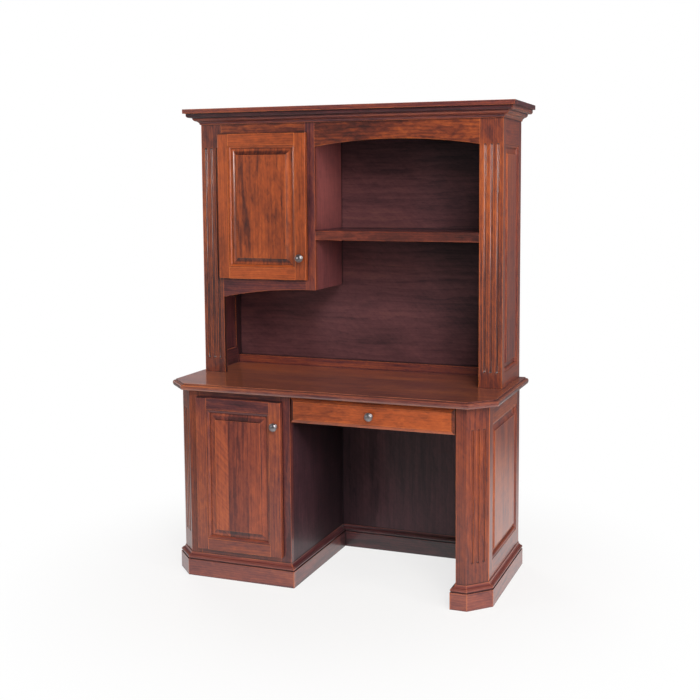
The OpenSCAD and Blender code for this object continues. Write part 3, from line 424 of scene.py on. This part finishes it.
def makeMetal(name, **changes):
    # Tarnish lies in the hollows and in slow patches; the grit shows as a broken sheen. Pewter gives a soft grey
    # with a warm cast, rolled zinc plate a cooler and brighter one.
    s = dict(metal, **changes)
    material, tree = startMaterial(name)
    spot = addNode(tree, "TexCoord").outputs["Object"]
    grit = addNode(tree, "TexNoise", spot, sockets={"Scale": 1000 / s["gritMm"], "Detail": 3.0})
    patches = addNode(tree, "TexNoise", spot, sockets={"Scale": s["patches"], "Detail": 2.0})
    shelter = addNode(tree, "AmbientOcclusion", sockets={"Distance": s["hollowMm"] / 1000}, samples=shadeSamples)
    hollow = addNode(tree, "Math", 1.0, shelter.outputs["AO"], operation="SUBTRACT")
    worn = addNode(tree, "Math", hollow, s["inHollows"] * s["share"], operation="MULTIPLY", use_clamp=True)
    worn = addNode(tree, "Math", patches, s["inPatches"] * s["share"], worn, operation="MULTIPLY_ADD")
    colour = addNode(tree, "Mix", data_type="RGBA", sockets={
        "Factor": worn, "A": linear(s["fresh"]), "B": linear(s["tarnished"])})
    gloss = addNode(tree, "Math", grit, s["gritSheen"], s["roughness"] - s["gritSheen"] / 2,
                    operation="MULTIPLY_ADD")
    bumps = addNode(tree, "Bump", sockets={
        "Height": grit, "Strength": s["gritRelief"], "Distance": s["gritDepthMm"] / 1000})
    shine = addNode(tree, "BsdfPrincipled", sockets={
        "Base Color": colour, "Roughness": gloss, "Normal": bumps, "Metallic": 1.0})
    addNode(tree, "OutputMaterial", shine)
    return material


print("metal and rubber")
pewter = makeMetal("agedPewter")
zinc = makeMetal("zincPlate", fresh="#b9bcc0", tarnished="#8d9094", roughness=0.34, share=0.3, gritMm=0.8,
                 gritDepthMm=0.03)
dress(zinc, "hinge_leaves", "lower_hinge_pins", "upper_hinge_pins", "pedestal_pins", "cabinet_pins",
      "slide_outers", "slide_middle_left", "slide_middle_right", "slide_inners")

knob = {
    # the turned profile: radius, and how far it stands out
    "profileMm": ((0, 0), (8.6, 0), (9.6, 0.9), (9.2, 1.9), (7.6, 2.8), (6.3, 4.6), (5.8, 7.5), (6.1, 10.5),
                  (7.6, 13.2), (10.6, 15.4), (13.6, 16.6), (15.4, 17.6), (16.0, 19.2), (15.6, 20.6), (14.6, 21.3),
                  (13.8, 21.1), (13.0, 21.9), (11.0, 23.9), (7.5, 25.8), (3.5, 26.8), (0, 27)),
    "steps": 6,  # rings between two marks of the profile
    "sides": 96,
    "dents": 15,  # hammer marks on the head
    "dentMm": 3.3,
    "dentDepthMm": 0.55,
    "dentedMm": 13.0,  # radius within which they lie
    "dentsFromMm": 21.5,  # how far out the head begins to take them
    "dentsFadeMm": 1.5,
    "turnBetween": 2.39996,  # radians from one mark to the next, as between a sunflower's seeds
}


def makeKnob(name, node, body, s):
    # Turned and hammered knob. Surface: the profile (radius, out) is a smooth curve through its marks, and a
    # point lies at radius times (cosine, sine) of the angle round the centre line, out in front of the door. Each
    # hammer mark takes off its depth times e to the minus squared distance from its centre over its squared
    # width, and the marks lie on a sunflower spiral.
    marks = np.array(s["profileMm"], dtype=float)
    before, here, there, beyond = [np.pad(marks, ((1, 2), (0, 0)), mode="edge")[i:i + len(marks) - 1][:, None]
                                   for i in range(4)]
    t = np.linspace(0, 1, s["steps"], endpoint=False)[None, :, None]
    curve = 0.5 * (2 * here + (there - before) * t + (2 * before - 5 * here + 4 * there - beyond) * t ** 2
                   + (3 * here - 3 * there + beyond - before) * t ** 3)
    radius, out = curve.reshape(-1, 2)[1:].T
    angle = np.linspace(0, 2 * math.pi, s["sides"], endpoint=False)
    rings = np.stack([radius[:, None] * np.cos(angle), -out[:, None] + 0 * angle,
                      radius[:, None] * np.sin(angle)], 2)
    points = np.vstack([[[0, 0, 0]], rings.reshape(-1, 3), [[0, -marks[-1, 1], 0]]])
    turn = np.arange(s["dents"])
    spiral = s["dentedMm"] * np.sqrt((turn + 0.5) / s["dents"]) * np.exp(1j * s["turnBetween"] * turn)
    away = np.abs((points[:, 0] + 1j * points[:, 2])[:, None] - spiral)
    dent = s["dentDepthMm"] * np.exp(-(away / s["dentMm"]) ** 2).sum(1)
    points[:, 1] += dent * np.clip((-points[:, 1] - s["dentsFromMm"]) / s["dentsFadeMm"], 0, 1)
    low, high = [np.array(corner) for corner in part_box(node)]
    points = points / 1000 + ((low[0] + high[0]) / 2, high[1], (low[2] + high[2]) / 2)
    count, sides = len(radius), s["sides"]
    ring, step = np.meshgrid(np.arange(count - 1), np.arange(sides), indexing="ij")
    corner, beside = 1 + ring * sides + step, 1 + ring * sides + (step + 1) % sides
    quads = np.stack([corner, corner + sides, beside + sides, beside], 2).reshape(-1, 4)
    first, last = 1 + np.arange(sides), 1 + (count - 1) * sides + np.arange(sides)
    back = np.stack([0 * first, first, np.roll(first, -1)], 1)
    front = np.stack([last, 0 * last + len(points) - 1, np.roll(last, -1)], 1)
    mesh = bpy.data.meshes.new(name)
    mesh.from_pydata(points.tolist(), [], quads.tolist() + back.tolist() + front.tolist())
    mesh.shade_smooth()
    mesh.materials.append(pewter)
    piece = bpy.data.objects.new(name, mesh)
    bpy.context.collection.objects.link(piece)
    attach(piece, body)
    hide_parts(node)


print("knobs")
makeKnob("hammered_lower_knob", "lower_door_knob", "lower_door", knob)
makeKnob("hammered_upper_knob", "upper_door_knob", "upper_door", knob)
makeKnob("hammered_drawer_knob", "drawer_knob", "drawer", knob)

bumper = {
    "clear": "#dedbd0",
    "cloudy": "#c9c6bb",
    "clouds": 300.0,  # in a metre
    "roughness": 0.4,
}


def makeBumper(s):
    # cast polyurethane: milky, soft, a little uneven
    material, tree = startMaterial("castPolyurethane")
    spot = addNode(tree, "TexCoord").outputs["Object"]
    cloud = addNode(tree, "TexNoise", spot, sockets={"Scale": s["clouds"]})
    colour = addNode(tree, "Mix", data_type="RGBA", sockets={
        "Factor": cloud, "A": linear(s["clear"]), "B": linear(s["cloudy"])})
    soft = addNode(tree, "BsdfPrincipled", sockets={"Base Color": colour, "Roughness": s["roughness"]})
    addNode(tree, "OutputMaterial", soft)
    return material


dress(makeBumper(bumper), "door_pads")

studio = {
    "floorColour": "#e9e6e2",
    "floorPatch": "#e7e4e0",
    "floorPatches": 2.0,  # in a metre
    "floorRoughness": 0.9,
    "floorSize": 40.0,
    "shadowDepth": 0.24,  # share of the floor's own shading that the camera sees beside the object
    "fade": (0.45, 1.5),  # metres from the object's middle over which the floor turns white
    "sheenFrom": (0.05, 0.1, 0.0),  # where the floor is brightest for the gloss
    "sheen": (0.9, 2.8),  # metres from there over which it dims
    "roomColour": "#f6e9f0",
    "airLevel": 0.09,  # diffuse light from all round
    "roomLevel": 0.08,  # what the gloss sees of the dim side of the room
    "backdropLevel": 0.20,  # and of the backdrop, straight behind and to the right
    "backdropLeft": 0.80,  # where it comes round on the left
    "backdropTop": 0.35,  # these three are parts of the direction that a ray takes: up,
    "backdropSides": (-0.3, 0.4),  # to the back
    "backdropTurn": (-0.55, -0.15),  # and to the right
    "lamps": {  # place, aim, width and height, watts, seen by the gloss
        "keySoftbox": ((3.4, -5.6, 5.4), (0.0, 0.0, 0.9), (3.0, 3.0), 480.0, True),
        "sideSoftbox": ((4.8, -1.8, 1.9), (0.0, 0.0, 1.0), (1.1, 1.1), 104.0, False),
        "rightStrip": ((3.3, -2.8, 1.75), (0.0, 0.0, 1.3), (1.1, 1.7), 52.0, True),
        "leftStrip": ((-4.4, -3.4, 1.9), (0.0, 0.0, 1.0), (0.8, 0.8), 56.0, True),
        "rearFill": ((-3.8, 4.0, 3.0), (0.0, 0.0, 0.9), (2.4, 2.4), 150.0, False),
    },
}
white = (1.0, 1.0, 1.0, 1.0)


def makeAir(s):
    # white for the camera; for the gloss a pink room, brighter low down at the back where the backdrop hangs, and
    # brightest where it comes round on the left
    world = bpy.data.worlds.new("studioAir")
    bpy.context.scene.world = world
    world.use_nodes = True
    tree = world.node_tree
    tree.nodes.clear()
    path = addNode(tree, "LightPath").outputs
    way = addNode(tree, "SeparateXYZ", addNode(tree, "TexCoord").outputs["Generated"]).outputs
    low = addNode(tree, "MapRange", way["Z"], 0.0, s["backdropTop"], 1.0, 0.0, interpolation_type="SMOOTHSTEP")
    rear = addNode(tree, "MapRange", way["Y"], *s["backdropSides"], 0.0, 1.0, interpolation_type="SMOOTHSTEP")
    mirrored = addNode(tree, "Math", path["Is Glossy Ray"], path["Is Transmission Ray"], operation="MAXIMUM")
    hung = addNode(tree, "Math", low, rear, operation="MULTIPLY")
    cloth = addNode(tree, "MapRange", way["X"], *s["backdropTurn"], s["backdropLeft"], s["backdropLevel"])
    hung = addNode(tree, "Mix", sockets={"Factor": hung, "A": s["roomLevel"], "B": cloth})
    unseen = addNode(tree, "Mix", sockets={"Factor": mirrored, "A": s["airLevel"], "B": hung})
    level = addNode(tree, "Mix", sockets={"Factor": path["Is Camera Ray"], "A": unseen, "B": 1.0})
    tint = addNode(tree, "Mix", data_type="RGBA", sockets={
        "Factor": path["Is Camera Ray"], "A": linear(s["roomColour"]), "B": white})
    addNode(tree, "OutputWorld", addNode(tree, "Background", tint, level))


def makeFloor(s):
    # plain pale floor that keeps the shadow near the object and turns white further out; the gloss sees it white
    # close by and dim far away
    material, tree = startMaterial("paleFloor")
    spot = addNode(tree, "TexCoord").outputs["Object"]
    patches = addNode(tree, "TexNoise", spot, sockets={"Scale": s["floorPatches"]})
    tint = addNode(tree, "Mix", data_type="RGBA", sockets={
        "Factor": patches, "A": linear(s["floorColour"]), "B": linear(s["floorPatch"])})
    matt = addNode(tree, "BsdfPrincipled", sockets={"Base Color": tint, "Roughness": s["floorRoughness"]})
    path = addNode(tree, "LightPath").outputs
    away = addNode(tree, "VectorMath", spot, operation="LENGTH")
    fade = addNode(tree, "MapRange", away, *s["fade"], 1 - s["shadowDepth"], 1.0, interpolation_type="SMOOTHSTEP")
    mirrored = addNode(tree, "Math", path["Is Glossy Ray"], path["Is Transmission Ray"], operation="MAXIMUM")
    share = addNode(tree, "Math", path["Is Camera Ray"], fade, mirrored, operation="MULTIPLY_ADD")
    off = addNode(tree, "VectorMath", spot, s["sheenFrom"], operation="DISTANCE")
    far = addNode(tree, "MapRange", off, *s["sheen"], 1.0, s["backdropLevel"], interpolation_type="SMOOTHSTEP")
    level = addNode(tree, "Mix", sockets={"Factor": mirrored, "A": 1.0, "B": far})
    lit = addNode(tree, "Emission", white, level)
    addNode(tree, "OutputMaterial", addNode(tree, "MixShader", share, matt, lit))
    half = s["floorSize"] / 2
    mesh = bpy.data.meshes.new("studioFloor")
    mesh.from_pydata([(-half, -half, 0), (half, -half, 0), (half, half, 0), (-half, half, 0)], [], [(0, 1, 2, 3)])
    mesh.materials.append(material)
    floor = bpy.data.objects.new("studioFloor", mesh)
    bpy.context.collection.objects.link(floor)


def makeLamps(s):
    # soft boxes round the desk, each turned to its aim
    for name, (place, aim, size, watts, inGloss) in s["lamps"].items():
        lamp = bpy.data.lights.new(name, "AREA")
        lamp.shape, lamp.energy = "RECTANGLE", watts
        lamp.size, lamp.size_y = size
        holder = bpy.data.objects.new(name, lamp)
        bpy.context.collection.objects.link(holder)
        holder.location = place
        holder.visible_glossy = inGloss
        holder.rotation_euler = (Vector(aim) - Vector(place)).to_track_quat("-Z", "Y").to_euler()


print("studio")
makeAir(studio)
makeFloor(studio)
makeLamps(studio)

lens = {
    "place": (1.5704, -3.8606, 1.5185),
    "pitch": -5.45,  # degrees
    "yaw": 19.91,
    "roll": -0.2,
    "picture": 700,  # pixels on each side
    "focal": 1076.97,  # pixels
    "centre": (387.07, 288.55),  # pixel that the lens looks at, from the top left
    "sensorMm": 36,
    "farthest": 100,
}


def makeCamera(s):
    # the photograph's viewpoint, from the desk's own straight edges
    data = bpy.data.cameras.new("viewer")
    side, (x, y) = s["picture"], s["centre"]
    data.sensor_width = s["sensorMm"]
    data.lens = s["focal"] / side * s["sensorMm"]
    data.shift_x, data.shift_y = (side / 2 - x) / side, (y - side / 2) / side
    data.clip_end = s["farthest"]
    camera = bpy.data.objects.new("viewer", data)
    bpy.context.collection.objects.link(camera)
    turn = Matrix.Rotation(math.radians(s["yaw"]), 4, "Z")
    tilt = Matrix.Rotation(math.radians(90 + s["pitch"]), 4, "X")
    roll = Matrix.Rotation(math.radians(s["roll"]), 4, "Z")
    camera.matrix_world = Matrix.Translation(s["place"]) @ turn @ tilt @ roll
    bpy.context.scene.camera = camera


print("camera")
makeCamera(lens)
bpy.context.scene.view_settings.view_transform = "Standard"

print("finished")
